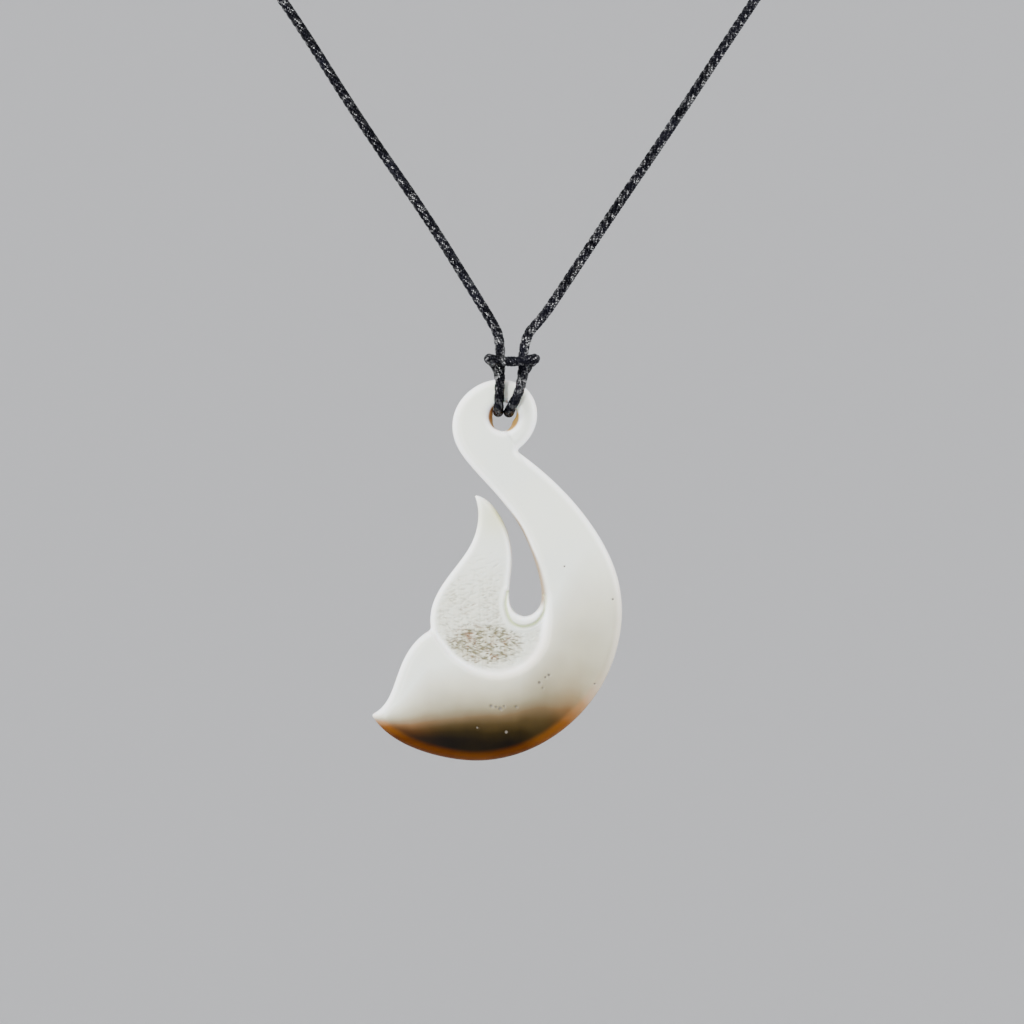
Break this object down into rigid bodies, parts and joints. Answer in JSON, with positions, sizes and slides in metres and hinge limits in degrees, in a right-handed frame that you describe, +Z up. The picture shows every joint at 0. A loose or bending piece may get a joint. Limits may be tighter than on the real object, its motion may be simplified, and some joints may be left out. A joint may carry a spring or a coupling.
{
  "type": "fish hook pendant on a neck cord",
  "caption": "Flat carved bone fish hook with a lowered stippled tine, hung by a lark's head hitch from a thin waxed neck cord that closes at the nape.",
  "frame": {"origin": "where the cord's closure sits on the nape of the neck", "axes": "+X across the wearer, to the right as seen from in front; -Y to the front; +Z up, the cord and hook hanging down"},
  "size_m": [0.1213, 0.126, 0.1816],
  "materials": {
    "bone": "polished carved bone, off-white, stained brown along the lower edge",
    "cord": "tight round braid, waxed, black",
    "knot": "same waxed cord, wound and pulled tight"
  },
  "bodies": {
    "cord": {"neck_cord": "cord", "nape_knot": "knot"},
    "hook": {"bone_hook": "bone"}
  },
  "joints": [
    {"name": "hook_swing", "type": "hinge", "parent": "cord", "child": "hook", "pos_m": [-0.0011, -0.1202, -0.1309], "axis": [1, 0, 0], "range_deg": [-15, 15]}
  ]
}
